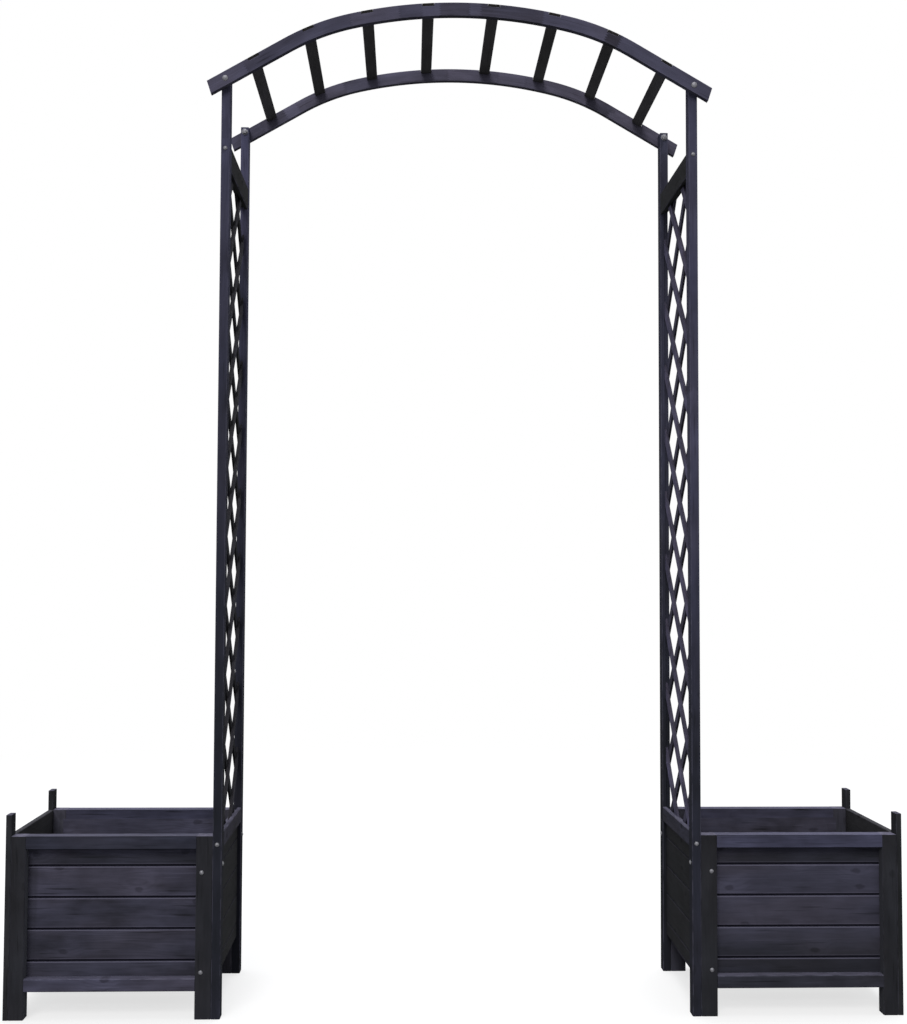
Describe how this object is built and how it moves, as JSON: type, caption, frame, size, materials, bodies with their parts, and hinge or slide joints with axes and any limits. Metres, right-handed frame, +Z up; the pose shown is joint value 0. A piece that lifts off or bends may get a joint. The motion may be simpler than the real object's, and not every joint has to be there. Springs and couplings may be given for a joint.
{
  "type": "garden arch with planters",
  "caption": "Wooden garden arch with a curved slatted top, diagonal trellis sides and a square board-sided planter box beside each foot.",
  "frame": {"origin": "on the ground, in the middle between the two planters, which is the middle of the bottom of the bounding box", "axes": "+X to the right seen from the front, +Y from the front to the rear, +Z up; the walkway runs along Y"},
  "size_m": [1.8, 0.396, 2.06],
  "materials": {
    "stained_wood": "matt charcoal stain",
    "zinc": "zinc plated"
  },
  "bodies": {
    "root": {"arch_front_rail": "stained_wood", "arch_rear_rail": "stained_wood", "arch_rung_1": "stained_wood", "arch_rung_2": "stained_wood", "arch_rung_3": "stained_wood", "arch_rung_4": "stained_wood", "arch_rung_5": "stained_wood", "arch_rung_6": "stained_wood", "arch_rung_7": "stained_wood", "arch_rung_8": "stained_wood", "left_front_post": "stained_wood", "left_rear_post": "stained_wood", "left_trellis_head": "stained_wood", "left_trellis_sill": "stained_wood", "left_lattice_inner": "stained_wood", "left_lattice_outer": "stained_wood", "left_side_boards": "stained_wood", "left_corner_cleats": "stained_wood", "left_front_inner_stile": "stained_wood", "left_front_outer_stile": "stained_wood", "left_rear_inner_stile": "stained_wood", "left_rear_outer_stile": "stained_wood", "left_front_top_rail": "stained_wood", "left_front_bottom_rail": "stained_wood", "left_rear_top_rail": "stained_wood", "left_rear_bottom_rail": "stained_wood", "left_front_boards": "stained_wood", "left_rear_boards": "stained_wood", "left_end_battens": "stained_wood", "left_end_rails": "stained_wood", "left_end_boards": "stained_wood", "left_floor_cleats": "stained_wood", "left_floor_boards": "stained_wood", "right_front_post": "stained_wood", "right_rear_post": "stained_wood", "right_trellis_head": "stained_wood", "right_trellis_sill": "stained_wood", "right_lattice_inner": "stained_wood", "right_lattice_outer": "stained_wood", "right_side_boards": "stained_wood", "right_corner_cleats": "stained_wood", "right_front_inner_stile": "stained_wood", "right_front_outer_stile": "stained_wood", "right_rear_inner_stile": "stained_wood", "right_rear_outer_stile": "stained_wood", "right_front_top_rail": "stained_wood", "right_front_bottom_rail": "stained_wood", "right_rear_top_rail": "stained_wood", "right_rear_bottom_rail": "stained_wood", "right_front_boards": "stained_wood", "right_rear_boards": "stained_wood", "right_end_battens": "stained_wood", "right_end_rails": "stained_wood", "right_end_boards": "stained_wood", "right_floor_cleats": "stained_wood", "right_floor_boards": "stained_wood", "arch_bolts": "zinc", "arch_nuts": "zinc", "screws": "zinc"}
  },
  "joints": []
}
